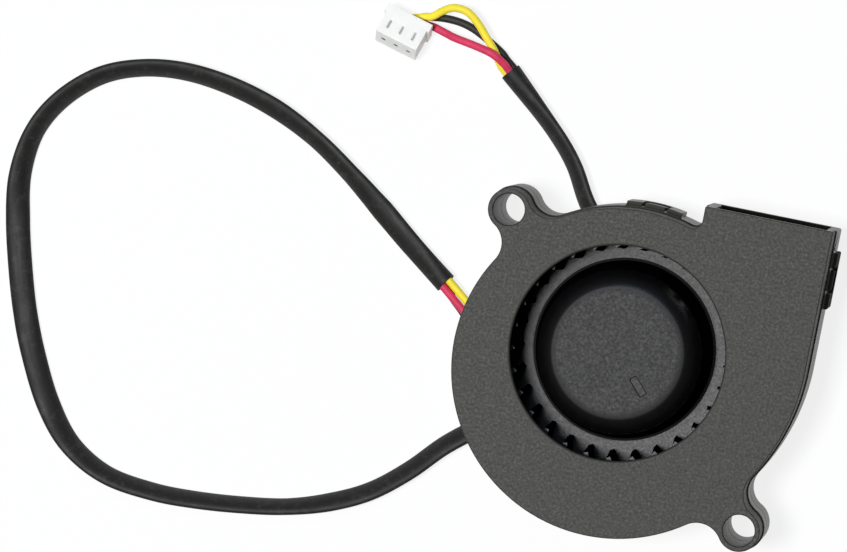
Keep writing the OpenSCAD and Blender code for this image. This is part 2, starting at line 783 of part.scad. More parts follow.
module lead_sleeve() color("black") swept(sleeve_route, sleeve_d);

module yellow_wire() color("gold") {
    swept(yellow_fan_end, wire_d);
    swept(yellow_plug_end, wire_d);
}

module red_wire() color("crimson") {
    swept(red_fan_end, wire_d);
    swept(red_plug_end, wire_d);
}

module black_wire() color("black") {
    swept(black_fan_end, wire_d);
    swept(black_plug_end, wire_d);
}

// Connector, along its own axes: X across the contacts, Y towards the mating face

module at_plug() {
    translate([plug_at.x, plug_at.y, z_surface]) rotate([0, 0, plug_turn]) rotate([plug_pitch, 0, 0])
        children();
}

module each_contact() {
    for (k = [-1:1]) translate([k * contact_pitch, 0, contact_mid]) children();
}

module connector_housing() color("white") at_plug() difference() {
    union() {
        translate([-plug_w / 2, 0, 0]) cube([plug_w, plug_l, plug_t]);
        translate([-plug_flange_w / 2, 0, 0]) cube([plug_flange_w, plug_flange_l, plug_t]);
    }
    each_contact() {
        translate([-chamber / 2, -eps, -chamber / 2]) cube([chamber, plug_l - plug_front + eps, chamber]);
        translate([-pin_hole / 2, 0, -pin_hole / 2]) cube([pin_hole, plug_l + eps, pin_hole]);
        translate([-window_w / 2, plug_l - window_front - window_l, 0])
            cube([window_w, window_l, plug_t]);
    }
}

module crimp_contacts() color("silver") at_plug() each_contact() {
    side = chamber - 2 * barrel_gap;
    translate([-side / 2, plug_l / 2, -side / 2]) difference() {
        cube([side, plug_l / 2 - plug_front, side]);
        translate([side / 4, -eps, side / 4]) cube([side / 2, plug_l, side / 2]);
    }
}

base_housing();
inlet_cover();
bearing_tube();
sleeve_bearing();
thrust_pad();
oil_washer();
stator_core();
upper_insulator();
lower_insulator();
coil(0);  // coil_1
coil(1);  // coil_2
coil(2);  // coil_3
coil(3);  // coil_4
circuit_board();
hall_sensor();
driver_chip();
chip_parts();
impeller();
rotor_yoke();
magnet_ring();
shaft();
shaft_bush();
retaining_clip();
yellow_wire();
red_wire();
black_wire();
lead_sleeve();
connector_housing();
crimp_contacts();
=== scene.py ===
# %% [markdown]
# # A flat radial blower with its sleeved lead
# The object is a small centrifugal fan: a moulded snail housing in two halves, a drum impeller behind
# a round inlet, and a lead of three wires in a soft sleeve with a white connector at its end.
# Its construction arrives as fixed CAD parts, each with its place in its own mesh. This lesson keeps
# those places and gives every part the surface that the real one has.

# %% Load the frame
import math

import bmesh
import bpy
from mathutils import Matrix, Vector


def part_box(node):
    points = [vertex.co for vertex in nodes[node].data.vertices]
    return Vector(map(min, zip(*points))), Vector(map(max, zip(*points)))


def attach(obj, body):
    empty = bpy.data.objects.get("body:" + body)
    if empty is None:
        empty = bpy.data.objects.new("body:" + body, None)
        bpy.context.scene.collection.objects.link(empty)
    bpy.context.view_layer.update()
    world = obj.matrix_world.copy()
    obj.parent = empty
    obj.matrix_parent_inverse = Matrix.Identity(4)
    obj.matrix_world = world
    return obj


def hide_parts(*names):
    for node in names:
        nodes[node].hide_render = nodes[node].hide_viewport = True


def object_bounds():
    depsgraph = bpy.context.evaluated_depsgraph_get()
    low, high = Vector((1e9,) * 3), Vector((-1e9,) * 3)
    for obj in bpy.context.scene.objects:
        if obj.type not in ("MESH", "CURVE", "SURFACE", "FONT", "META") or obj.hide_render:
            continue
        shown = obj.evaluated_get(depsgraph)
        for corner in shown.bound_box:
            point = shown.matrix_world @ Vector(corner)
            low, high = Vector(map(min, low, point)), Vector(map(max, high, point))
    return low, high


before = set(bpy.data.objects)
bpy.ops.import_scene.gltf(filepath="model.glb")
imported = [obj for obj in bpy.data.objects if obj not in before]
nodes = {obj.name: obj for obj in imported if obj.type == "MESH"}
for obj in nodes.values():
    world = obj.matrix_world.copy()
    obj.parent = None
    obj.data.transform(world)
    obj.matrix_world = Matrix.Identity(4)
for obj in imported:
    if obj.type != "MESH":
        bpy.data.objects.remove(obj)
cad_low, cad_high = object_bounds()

MM = 0.001
scene = bpy.context.scene
print("parts:", len(nodes), "box in mm:", [round(x / MM, 1) for x in cad_high - cad_low])

# %% [markdown]
# ## The camera
# The photograph looks down on the fan from far away through a long lens, a little from the outlet
# side. The place and the turn of the camera were worked out from the two screw holes and the front
# outline. A long lens is set by its focal length on a 36 mm wide sensor.

# %% Camera
PHOTO_WIDTH = 847
FOCAL_PX = 5242.7
SENSOR_MM = 36
camera_at = Vector((67.8, 58.8, 733.5)) * MM
camera_back = Vector((0.1306, 0.0722, 0.9888)).normalized()
camera_up = Vector((-0.1985, 0.9791, -0.0453))
camera_right = camera_up.cross(camera_back).normalized()
camera_up = camera_back.cross(camera_right)

camera = bpy.data.objects.new("camera", bpy.data.cameras.new("camera"))
scene.collection.objects.link(camera)
camera.data.sensor_width = SENSOR_MM
camera.data.lens = FOCAL_PX / PHOTO_WIDTH * SENSOR_MM
camera.data.clip_start = 0.05
camera.data.clip_end = 10
turn = Matrix((camera_right, camera_up, camera_back)).transposed()
camera.matrix_world = Matrix.Translation(camera_at) @ turn.to_4x4()
scene.camera = camera
print("lens in mm:", round(camera.data.lens, 1))

# %% [markdown]
# ## Small helpers
# One function adds any node with its settings and its links. Colours are written as the sRGB hex
# values that a picture shows, and one function turns them into the linear values that a shader takes.
# Pattern sizes are written in millimetres, and a texture's scale is how many of them fit in a metre.

# %% Helpers for nodes and colours
def add(tree, kind, inputs=None, **settings):
    """Add a node with its settings, and give each input a value or a link."""
    made = tree.nodes.new(kind)
    for name, value in settings.items():
        setattr(made, name, value)
    for socket, value in (inputs or {}).items():
        if isinstance(value, bpy.types.NodeSocket):
            tree.links.new(value, made.inputs[socket])
        else:
            made.inputs[socket].default_value = value
    return made


def linear(hex_colour):
    parts = [int(hex_colour[i:i + 2], 16) / 255 for i in (1, 3, 5)]
    return [c / 12.92 if c <= 0.04045 else ((c + 0.055) / 1.055) ** 2.4 for c in parts] + [1]


def per_metre(size_mm):
    return 1 / (size_mm * MM)


def new_material(name, values=None):
    """A material with one principled shader, and the coordinates that its patterns read."""
    made = bpy.data.materials.new(name)
    made.use_nodes = True
    tree = made.node_tree
    tree.nodes.clear()
    shader = add(tree, "ShaderNodeBsdfPrincipled", values)
    add(tree, "ShaderNodeOutputMaterial", {"Surface": shader.outputs["BSDF"]})
    place = add(tree, "ShaderNodeTexCoord")
    return made, tree, shader, place


# %% [markdown]
# ## Floor, world and lamps
# The photograph is a cut-out on white. The floor is a pale sheet that the camera and every gloss see
# almost as pure white, while it still takes the soft shadow of the fan. Most of the light is one small
# softbox beside the camera, a little to the left. Black plastic shows it as a broad dull sheen, so a
# face that looks at the camera is grey, and a face that tilts away is black. A weak bluish window
# lights the walls on the outlet side.

# %% Floor and light
FLOOR_SIZE = 3
SHADOW_SHARE = 0.16


def white_when_seen(tree, lit):
    """Mix a lit shader with plain white for what the camera, gloss and glass see."""
    path = add(tree, "ShaderNodeLightPath")
    seen = path.outputs["Is Camera Ray"]
    for ray in ("Is Glossy Ray", "Is Transmission Ray"):
        seen = add(tree, "ShaderNodeMath", {0: seen, 1: path.outputs[ray]}, operation="MAXIMUM").outputs[0]
    share = add(tree, "ShaderNodeMath", {0: seen, 1: 1 - SHADOW_SHARE}, operation="MULTIPLY").outputs[0]
    white = add(tree, "ShaderNodeEmission", {"Color": (1, 1, 1, 1), "Strength": 1})
    return add(tree, "ShaderNodeMixShader", {0: share, 1: lit, 2: white.outputs[0]}).outputs[0]


def white_sheet():
    """Plain paper: matt and evenly bright, so that only the shadow shows on it."""
    made = bpy.data.materials.new("pale paper sheet")
    made.use_nodes = True
    tree = made.node_tree
    tree.nodes.clear()
    paper = add(tree, "ShaderNodeBsdfDiffuse", {"Color": linear("#F4F4F4")})
    shown = white_when_seen(tree, paper.outputs[0])
    add(tree, "ShaderNodeOutputMaterial", {"Surface": shown})
    return made


floor_mesh = bpy.data.meshes.new("floor")
half = FLOOR_SIZE / 2
corners = [(-half, -half), (half, -half), (half, half), (-half, half)]
floor_mesh.from_pydata([(x, y, cad_low.z) for x, y in corners], [], [(0, 1, 2, 3)])
floor_mesh.materials.append(white_sheet())
floor = bpy.data.objects.new("floor", floor_mesh)
scene.collection.objects.link(floor)


def softbox(name, toward, distance, size, watts, colour="#FFFFFF"):
    """A square area lamp that looks at the fan from a direction in the fan's own axes."""
    lamp = bpy.data.lights.new(name, "AREA")
    lamp.size = size
    lamp.energy = watts
    lamp.color = linear(colour)[:3]
    held = bpy.data.objects.new(name, lamp)
    scene.collection.objects.link(held)
    way = Vector(toward).normalized()
    held.location = way * distance
    held.rotation_euler = way.to_track_quat("Z", "Y").to_euler()


softbox("key softbox", (-0.175, 0, 1), distance=1.2, size=0.22, watts=14.4)
softbox("window", (-0.06, 0.52, 1), distance=1.4, size=0.3, watts=2, colour="#CFE0FF")

WORLD_LIGHT = 0.03
world = bpy.data.worlds.new("studio")
world.use_nodes = True
world.node_tree.nodes["Background"].inputs["Color"].default_value = (1, 1, 1, 1)
world.node_tree.nodes["Background"].inputs["Strength"].default_value = WORLD_LIGHT
scene.world = world
scene.view_settings.view_transform = "Standard"

# %% [markdown]
# ## Moulded plastic
# Both housing halves are moulded in a black glass-filled polyester. The tool was spark-eroded, which
# leaves a fine even grain: the surface is matt, a dark grey in the light, and slightly mottled where
# the flow of the melt left cloudy patches. Each pattern is a noise whose scale comes from a size in
# millimetres, and it drives the colour, the roughness or the relief of the shader.

# %% Patterns of a moulded skin
CLOUD_EDGES = (0.3, 0.7)


def mottled(tree, where, dark, light, cloud_mm, detail=4, rough=0.6, edges=CLOUD_EDGES):
    """A colour that wanders between two tones in soft clouds."""
    clouds = add(tree, "ShaderNodeTexNoise",
                 {"Vector": where, "Scale": per_metre(cloud_mm), "Detail": detail, "Roughness": rough})
    ramp = add(tree, "ShaderNodeValToRGB", {"Fac": clouds.outputs["Fac"]})
    for stop, position, tone in zip(ramp.color_ramp.elements, edges, (dark, light)):
        stop.position = position
        stop.color = linear(tone)
    return ramp.outputs["Color"]


def wandering(tree, where, speck_mm, low, high, detail=2, rough=0.5, middle=1.0):
    """A value that wanders between two bounds. A noise stays near a half, so its middle may fill them."""
    specks = add(tree, "ShaderNodeTexNoise",
                 {"Vector": where, "Scale": per_metre(speck_mm), "Detail": detail, "Roughness": rough})
    edge = (1 - middle) / 2
    span = add(tree, "ShaderNodeMapRange", {
        "Value": specks.outputs["Fac"], "From Min": edge, "From Max": 1 - edge,
        "To Min": low, "To Max": high})
    return span.outputs["Result"]


def grain_bump(tree, where, grain_mm, depth_mm, detail=2, strength=1.0):
    """Fine relief left by the tool."""
    grain = add(tree, "ShaderNodeTexNoise",
                {"Vector": where, "Scale": per_metre(grain_mm), "Detail": detail, "Roughness": 0.5})
    bump = add(tree, "ShaderNodeBump",
               {"Height": grain.outputs["Fac"], "Distance": depth_mm * MM, "Strength": strength})
    return bump.outputs["Normal"]


def drive(tree, shader, patterns):
    """Let each pattern drive one socket of the shader."""
    for socket, pattern in patterns.items():
        tree.links.new(pattern, shader.inputs[socket])


# %% [markdown]
# ## Skins of the plastic
# One plastic has several skins, because the tool differed from place to place. The impeller comes from a
# polished tool, and only the flat of its hub has the housing's grain. The walls slid along the tool as it
# opened, so they are smoother, and their paler colour is painted light from the floor. The blades and
# the sides of the hub are painted black as shade, since hardly any light that falls between the blades
# comes out again. The blade tops get a paler colour as a painted highlight. The recesses at the clips and
# in the mouth are painted darker as shade.

# %% Skins of the plastic
POLYESTER_IOR = 1.55
GRAIN_MM, RELIEF_MM = 0.38, 0.22
HUB_SKIN_MM = (-0.76, -0.61)
DISC_SKIN_MM = -9.7


def moulded_polyester():
    """Spark-eroded tool: matt and even. Its grain is drawn coarser than it is, so that it shows."""
    made, tree, shader, place = new_material("spark-eroded moulded polyester", {"IOR": POLYESTER_IOR})
    where = place.outputs["Object"]
    drive(tree, shader, {
        "Base Color": mottled(tree, where, "#262721", "#31322B", 1.6),
        "Roughness": wandering(tree, where, GRAIN_MM, 0.52, 0.8, detail=4, rough=0.65, middle=0.5),
        "Normal": grain_bump(tree, where, RELIEF_MM, 0.02)})
    return made


def polished_polyester():
    """Polished tool, black and glossy. The flat of the hub has the housing's grain, the disc is satin."""
    made, tree, shader, place = new_material("polished moulded polyester", {"IOR": POLYESTER_IOR})
    where = place.outputs["Object"]
    height = add(tree, "ShaderNodeSeparateXYZ", {0: where}).outputs["Z"]
    on_flat = add(tree, "ShaderNodeMapRange", {
        "Value": height, "From Min": HUB_SKIN_MM[0] * MM, "From Max": HUB_SKIN_MM[1] * MM})
    on_disc = add(tree, "ShaderNodeMath", {0: height, 1: DISC_SKIN_MM * MM}, operation="LESS_THAN")
    grain = {"detail": 5, "rough": 0.7}
    polished = wandering(tree, where, GRAIN_MM, 0.29, 0.37, **grain)
    satin = wandering(tree, where, GRAIN_MM, 0.45, 0.63, middle=0.5, **grain)
    grained = wandering(tree, where, GRAIN_MM, 0.51, 0.78, middle=0.5, **grain)
    hub = add(tree, "ShaderNodeMix", {0: on_flat.outputs["Result"], 2: polished, 3: grained})
    whole = add(tree, "ShaderNodeMix", {0: on_disc.outputs[0], 2: hub.outputs[0], 3: satin})
    drive(tree, shader, {
        "Base Color": mottled(tree, where, "#070708", "#0C0C0E", 1.2),
        "Roughness": whole.outputs[0],
        "Normal": grain_bump(tree, where, RELIEF_MM, 0.008)})
    return made


def plain_polyester(name, dark, light, rough, specular):
    """The same plastic with one even skin, between two roughness values."""
    made, tree, shader, place = new_material(name, {"IOR": POLYESTER_IOR, "Specular IOR Level": specular})
    where = place.outputs["Object"]
    drive(tree, shader, {
        "Base Color": mottled(tree, where, dark, light, 1.2),
        "Roughness": wandering(tree, where, 0.4, *rough, detail=3),
        "Normal": grain_bump(tree, where, RELIEF_MM, 0.01)})
    return made


housing_finish = moulded_polyester()
impeller_finish = polished_polyester()
# Paler lower walls: painted light, standing for the glow from the floor. The lower roughness is the
# smoother drawn surface.
painted_light_wall_finish = plain_polyester("drawn polyester with painted light", "#444138", "#504C41", (0.36, 0.52), 0.5)
# Painted shade: the sides of the blades and of the hub are coloured black for the shade they lie in.
painted_deep_shade_finish = plain_polyester("painted deep shade polyester", "#050505", "#090909", (0.8, 0.95), 0)
# Painted shade: a darker colour for the floor of the mouth, the side clip and the gaps beside the top clip.
painted_shade_finish = plain_polyester("painted shade polyester", "#1C1B19", "#262421", (0.75, 0.9), 0.08)
# Painted highlight: a paler colour on the blade tops, standing for the light that they catch.
painted_glint_finish = plain_polyester("painted glint polyester", "#1E1E1E", "#2A2A2A", (0.48, 0.6), 0.5)
print("skins:", [x.name for x in bpy.data.materials if "polyester" in x.name])

# %% [markdown]
# ## Housing halves
# A moulded edge is never sharp: the tool leaves a small radius that catches a thin line of light. A
# CAD part has sharp edges and loose triangles, so a copy is merged, its flat faces are joined, and a
# bevel rounds every edge that turns by more than a given angle. The copy stands for the CAD part.

# %% Copies with rounded edges
WELD_MM = 0.03
FLAT_ANGLE, EDGE_ANGLE, CREASE_ANGLE = 0.5, 40, 50
EDGE_STEPS = 2
FLAT_WEIGHT = 100


def merged_copy(node, name):
    """A copy of a CAD node's mesh with its triangles joined into whole faces."""
    shape = bmesh.new()
    shape.from_mesh(nodes[node].data)
    bmesh.ops.remove_doubles(shape, verts=shape.verts, dist=WELD_MM * MM)
    bmesh.ops.dissolve_limit(
        shape, angle_limit=math.radians(FLAT_ANGLE), verts=shape.verts, edges=shape.edges)
    mesh = bpy.data.meshes.new(name)
    shape.to_mesh(mesh)
    shape.free()
    piece = bpy.data.objects.new(name, mesh)
    scene.collection.objects.link(piece)
    return piece


def settle(piece):
    """Turn a piece with its modifiers into a plain mesh."""
    graph = bpy.context.evaluated_depsgraph_get()
    mesh = bpy.data.meshes.new_from_object(piece.evaluated_get(graph))
    piece.modifiers.clear()
    piece.data = mesh


def shade(piece, crease):
    """Smooth the roundings and keep the flat faces flat, up to a crease angle in degrees."""
    piece.data.shade_smooth()
    piece.data.set_sharp_from_angle(angle=math.radians(crease))
    even = piece.modifiers.new("flat faces stay flat", "WEIGHTED_NORMAL")
    even.keep_sharp = True
    even.weight = FLAT_WEIGHT
    settle(piece)


def rounded(node, name, edge_mm):
    """A copy of a CAD node with every sharp edge rounded."""
    piece = merged_copy(node, name)
    bevel = piece.modifiers.new("rounded edges", "BEVEL")
    bevel.width = edge_mm * MM
    bevel.segments = EDGE_STEPS
    bevel.limit_method = "ANGLE"
    bevel.angle_limit = math.radians(EDGE_ANGLE)
    bevel.use_clamp_overlap = False
    settle(piece)
    shade(piece, CREASE_ANGLE)
    return piece


def dress(piece, finish, body, slot, *stands_for):
    """Give a finished mesh its material and its body, and hide the CAD nodes that it stands for."""
    piece.data.materials.clear()
    piece.data.materials.append(finish)
    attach(piece, body)
    if stands_for:
        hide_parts(*stands_for)
    return piece


# %% [markdown]
# ## Faces with a skin of their own
# Some faces of a piece have another skin than the rest. A small test picks them by their direction and
# by where their corners lie, in millimetres, and each test goes with the skin that its faces get. On the
# housing the lower walls get a paler colour, which is painted light, and the floor of the mouth, the side
# clip and the gaps beside the top clip get a darker one, which is painted shade.

# %% Housing halves
HOUSING_EDGE_MM = 0.2
WALL_FOOT_Z, MOUTH_FLOOR_Z = -6, -13
CLIP_X, CLIP_Y, CLIP_REACH = 27, 20.8, 6
UPRIGHT = 0.3


def more_finishes(piece, finishes):
    """Give another finish to the faces that a test picks."""
    slots = piece.data.materials
    for finish, chosen in finishes:
        if slots.find(finish.name) < 0:
            slots.append(finish)
        index = slots.find(finish.name)
        for face in piece.data.polygons:
            corners = [piece.data.vertices[i].co / MM for i in face.vertices]
            if chosen(face.normal, corners):
                face.material_index = index


# The lower walls, which take the paler colour of painted light.
def is_lower_wall(normal, corners):
    return abs(normal.z) < UPRIGHT and min(p.z for p in corners) < WALL_FOOT_Z


def is_mouth_floor(normal, corners):
    return normal.z > 1 - UPRIGHT and max(p.z for p in corners) < MOUTH_FLOOR_Z


def is_side_clip(normal, corners):
    return max(p.x for p in corners) > CLIP_X


def is_clip_gap(normal, corners):
    by_top_clip = max(p.y for p in corners) > CLIP_Y and max(abs(p.x) for p in corners) < CLIP_REACH
    return by_top_clip and abs(normal.x) > 1 - UPRIGHT


for node in ("base_housing", "inlet_cover"):
    half_shell = rounded(node, "moulded_" + node, HOUSING_EDGE_MM)
    dress(half_shell, housing_finish, "housing", "housing_plastic", node)
    more_finishes(half_shell, [
        (painted_light_wall_finish, is_lower_wall), (painted_shade_finish, is_mouth_floor), (painted_shade_finish, is_side_clip),
        (painted_shade_finish, is_clip_gap)])
    print(half_shell.name, "faces:", len(half_shell.data.polygons))

# %% [markdown]
# ## Impeller
# The wheel repeats itself once for every blade, so one slice is modelled and turned about the axis.
# A slice holds its share of the cup-shaped hub, of the disc and of the ring that ties the blade tops,
# with one blade. Modelling all the blades by hand would work too, but a slice keeps every blade alike and
# its sizes in one place. Lengths are in millimetres.

# %% Sizes of the wheel
BLADES = 29
BLADE_PHASE = math.radians(1)
HUB_FLAT_R, HUB_ROUND_R, HUB_FOOT_R = 8.2, 3.6, 12.9
HUB_FLOOR_Z = -1.7
CUP_R = 10.62
BOSS_R, BUSH_R, BOSS_Z = 2.8, 2.0, -3.7
DISC_Z, DISC_T = -10.0, 1.0
DISC_RISE = 0.2
ROOT_R = 14.4
BLADE_T, BLADE_CURVE_R, BLADE_LEAD = 0.6, 12, 8.5
BLADE_LEAN = 0.55
BLADE_EDGE = 0.12
RING_TOP_Z, RING_W, RING_INSET = -2.8, 0.9, 0.2
wheel_low, wheel_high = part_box("impeller")
WHEEL_R = wheel_high.x / MM
RING_IN_R = WHEEL_R - RING_W
TIP_R = WHEEL_R - RING_INSET
DISC_R = RING_IN_R - RING_INSET
HUB_TOP_Z = wheel_high.z / MM
BLADE_TOP_Z, BLADE_FOOT_Z = -2.6, wheel_low.z / MM
SLICE_STEPS = 6
FILLET_STEPS = 12
FOOT_RISE, FOOT_WIDE = 0.35, 0.4
GROOVE_WIDE, GROOVE_DEEP = 0.13, 0.15
BLADE_STEPS = 10
slice_angle = 2 * math.pi / BLADES
print("wheel radius in mm:", round(WHEEL_R, 2), "slice in degrees:", round(math.degrees(slice_angle), 2))


# %% Profile and blade
def arc_points(centre, radius, start, end, steps):
    """Points on an arc, with angles in degrees."""
    angles = [math.radians(start + (end - start) * k / steps) for k in range(steps + 1)]
    return [(centre[0] + radius * math.cos(a), centre[1] + radius * math.sin(a)) for a in angles]


def turned(shape, profile, closed):
    """Sweep a profile of radius and height through one slice."""
    rings = []
    for k in range(SLICE_STEPS + 1):
        a = slice_angle * (k / SLICE_STEPS - 0.5)
        x, y = math.cos(a) * MM, math.sin(a) * MM
        rings.append([shape.verts.new((r * x, r * y, z * MM)) for r, z in profile])
    pairs = len(profile) if closed else len(profile) - 1
    for k in range(SLICE_STEPS):
        for i in range(pairs):
            j = (i + 1) % len(profile)
            shape.faces.new((rings[k][i], rings[k + 1][i], rings[k + 1][j], rings[k][j]))


def blade_outline(root_r):
    """Plan of one blade: a bent strip that starts at a given radius."""
    root = Vector((ROOT_R, 0))
    lead = math.radians(BLADE_LEAD)
    tip = Vector((TIP_R * math.cos(lead), TIP_R * math.sin(lead)))
    chord = tip - root
    ahead = Vector((-chord.y, chord.x)).normalized()
    centre = (root + tip) / 2 + ahead * math.sqrt(BLADE_CURVE_R ** 2 - (chord.length / 2) ** 2)
    start = math.atan2(root.y - centre.y, root.x - centre.x)
    end = math.atan2(tip.y - centre.y, tip.x - centre.x)
    start += (end - start) * (root_r - ROOT_R) / (TIP_R - ROOT_R)
    bend = [start + (end - start) * k / BLADE_STEPS for k in range(BLADE_STEPS + 1)]
    sides = []
    for radius in (BLADE_CURVE_R + BLADE_T / 2, BLADE_CURVE_R - BLADE_T / 2):
        sides.append([centre + radius * Vector((math.cos(a), math.sin(a))) for a in bend])
    turn_by = Matrix.Rotation(BLADE_PHASE, 2)
    return [turn_by @ p for p in sides[0] + sides[1][::-1]]


def add_blade(shape):
    """A blade whose inner edge leans outward above the disc, with its edges rounded."""
    levels = [(BLADE_FOOT_Z, ROOT_R), (DISC_Z - DISC_T / 2, ROOT_R), (BLADE_TOP_Z, ROOT_R + BLADE_LEAN)]
    rings = [[shape.verts.new((p.x * MM, p.y * MM, z * MM)) for p in blade_outline(r)] for z, r in levels]
    count = len(rings[0])
    faces = [shape.faces.new(rings[0][::-1]), shape.faces.new(rings[-1])]
    for low, high in zip(rings, rings[1:]):
        for i in range(count):
            j = (i + 1) % count
            faces.append(shape.faces.new((low[i], low[j], high[j], high[i])))
    edges = {e for f in faces for e in f.edges}
    sharp = [e for e in edges if e.calc_face_angle(0) > math.radians(EDGE_ANGLE)]
    bmesh.ops.bevel(
        shape, geom=sharp, offset=BLADE_EDGE * MM, segments=EDGE_STEPS, affect="EDGES", profile=0.5)


# %% One slice
def wheel_slice():
    """The hub's profile from its top to its inner floor, the ring at the blade tops, and one blade."""
    shape = bmesh.new()
    foot_r = HUB_FOOT_R + FOOT_WIDE / 2
    hub = arc_points((HUB_FLAT_R, HUB_TOP_Z - HUB_ROUND_R), HUB_ROUND_R, 90, 0, FILLET_STEPS)
    hub += [(foot_r - FOOT_WIDE, DISC_Z + FOOT_RISE), (foot_r, DISC_Z + FOOT_RISE / 4)]
    hub += [(foot_r, DISC_Z - GROOVE_DEEP), (foot_r + GROOVE_WIDE, DISC_Z - GROOVE_DEEP)]
    hub += [(foot_r + GROOVE_WIDE, DISC_Z), (DISC_R, DISC_Z + DISC_RISE)]
    hub += [(DISC_R, DISC_Z - DISC_T), (CUP_R, DISC_Z - DISC_T)]
    hub += [(CUP_R, HUB_FLOOR_Z), (BOSS_R, HUB_FLOOR_Z), (BOSS_R, BOSS_Z), (BUSH_R, BOSS_Z)]
    hub += [(BUSH_R, HUB_FLOOR_Z), (0, HUB_FLOOR_Z)]
    turned(shape, hub, closed=False)
    ring = [(RING_IN_R, RING_TOP_Z - RING_W), (WHEEL_R, RING_TOP_Z - RING_W),
            (WHEEL_R, RING_TOP_Z), (RING_IN_R, RING_TOP_Z)]
    turned(shape, ring, closed=True)
    add_blade(shape)
    mesh = bpy.data.meshes.new("wheel_slice")
    shape.to_mesh(mesh)
    shape.free()
    print("slice faces:", len(mesh.polygons))
    return mesh


# %% [markdown]
# ## The slice turned into a wheel
# A node tree sets a row of points on the axis, puts a copy of the slice on each and turns every copy on
# by one step. The copies are made real and welded along their seams, so the wheel is one mesh.

# %% Turned copies
WHEEL_WELD_MM = 0.002


def turned_copies_tree():
    """A node tree that turns copies of a slice about the axis and welds them."""
    tree = bpy.data.node_groups.new("turned copies", "GeometryNodeTree")
    sockets = tree.interface
    sockets.new_socket("Geometry", in_out="INPUT", socket_type="NodeSocketGeometry")
    copies = sockets.new_socket("Copies", in_out="INPUT", socket_type="NodeSocketInt")
    weld = sockets.new_socket("Weld distance", in_out="INPUT", socket_type="NodeSocketFloat")
    finish = sockets.new_socket("Finish", in_out="INPUT", socket_type="NodeSocketMaterial")
    sockets.new_socket("Geometry", in_out="OUTPUT", socket_type="NodeSocketGeometry")
    given = add(tree, "NodeGroupInput").outputs
    spots = add(tree, "GeometryNodeMeshLine", {"Count": given["Copies"], "Offset": (0, 0, 0)})
    step = add(tree, "ShaderNodeMath", {0: 2 * math.pi, 1: given["Copies"]}, operation="DIVIDE")
    index = add(tree, "GeometryNodeInputIndex")
    angle = add(tree, "ShaderNodeMath", {0: index.outputs[0], 1: step.outputs[0]}, operation="MULTIPLY")
    spin = add(tree, "ShaderNodeCombineXYZ", {"Z": angle.outputs[0]})
    copied = add(tree, "GeometryNodeInstanceOnPoints", {
        "Points": spots.outputs["Mesh"], "Instance": given["Geometry"], "Rotation": spin.outputs[0]})
    real = add(tree, "GeometryNodeRealizeInstances", {"Geometry": copied.outputs["Instances"]})
    welded = add(tree, "GeometryNodeMergeByDistance", {
        "Geometry": real.outputs["Geometry"], "Distance": given["Weld distance"]})
    coated = add(tree, "GeometryNodeSetMaterial", {
        "Geometry": welded.outputs["Geometry"], "Material": given["Finish"]})
    add(tree, "NodeGroupOutput", {"Geometry": coated.outputs["Geometry"]})
    return tree, {"copies": copies.identifier, "weld": weld.identifier, "finish": finish.identifier}


copies_tree, copies_inputs = turned_copies_tree()


def turn_copies(piece, count, finish):
    """Turn a slice into a whole wheel."""
    modifier = piece.modifiers.new("turned copies", "NODES")
    modifier.node_group = copies_tree
    modifier[copies_inputs["copies"]] = count
    modifier[copies_inputs["weld"]] = WHEEL_WELD_MM * MM
    modifier[copies_inputs["finish"]] = finish
    settle(piece)


wheel = bpy.data.objects.new("drum_impeller", wheel_slice())
scene.collection.objects.link(wheel)
turn_copies(wheel, BLADES, impeller_finish)
print("wheel faces before the hub is closed:", len(wheel.data.polygons))

# %% [markdown]
# ## Mark on the hub
# The flat of the hub has one shallow mark, a slot with a rounded end that points along a radius. It
# shows how far the wheel has turned. A Boolean could cut it, but the slices leave the flat open anyway,
# so it is filled between the hub's rim and the mark's outline, and the mark gets sloped walls and a floor.

# %% Mark on the hub
WHEEL_CREASE = 35
RIM_SLACK_MM = 0.01
MARK_SIZE = (3.1, 1.2)
MARK_R, MARK_ANGLE = 5.5, math.radians(-47)
MARK_DEPTH = 0.12
MARK_SLOPE = 0.14
MARK_CORNERS = ((-1, -0.4), (-0.85, -1), (1, -1), (1, 1), (-0.85, 1), (-1, 0.4))


def close_hub_top(shape):
    """Close the flat of the hub round the shallow radial mark."""
    top = HUB_TOP_Z * MM
    rim = [e for e in shape.edges
           if e.is_boundary and min(v.co.z for v in e.verts) > top - RIM_SLACK_MM * MM]
    along = Vector((math.cos(MARK_ANGLE), math.sin(MARK_ANGLE), 0))
    across = Vector((-along.y, along.x, 0))
    long, wide = MARK_SIZE[0] / 2, MARK_SIZE[1] / 2
    rings = []
    for inset, depth in ((0, 0), (MARK_SLOPE, MARK_DEPTH)):
        ring = []
        for x, y in MARK_CORNERS:
            spot = ((MARK_R + x * (long - inset)) * along + y * (wide - inset) * across) * MM
            ring.append(shape.verts.new((spot.x, spot.y, top - depth * MM)))
        rings.append(ring)
    upper, lower = rings
    edges = [shape.edges.new((upper[k], upper[k - 1])) for k in range(len(upper))]
    bmesh.ops.triangle_fill(shape, use_beauty=True, edges=rim + edges)
    for k in range(len(upper)):
        shape.faces.new((upper[k - 1], upper[k], lower[k], lower[k - 1]))
    shape.faces.new(lower)


closed = bmesh.new()
closed.from_mesh(wheel.data)
close_hub_top(closed)
bmesh.ops.recalc_face_normals(closed, faces=closed.faces)
closed.to_mesh(wheel.data)
closed.free()
shade(wheel, WHEEL_CREASE)
dress(wheel, impeller_finish, "rotor", "impeller_plastic", "impeller")
print("wheel faces with the mark:", len(wheel.data.polygons))

# %% [markdown]
# ## Skins of the wheel
# The sides of the blades and of the hub lie deep in the housing, in shade, and are painted black as that
# shade. The blade tops get a paler colour as a painted highlight, and the floor of the mark has the grain
# of the housing. The tests tell them apart by their radius and their height.

# %% Skins of the wheel
INNER_SKIN_R = CUP_R + BLADE_T
BLADE_SKIN_R = ROOT_R - BLADE_T


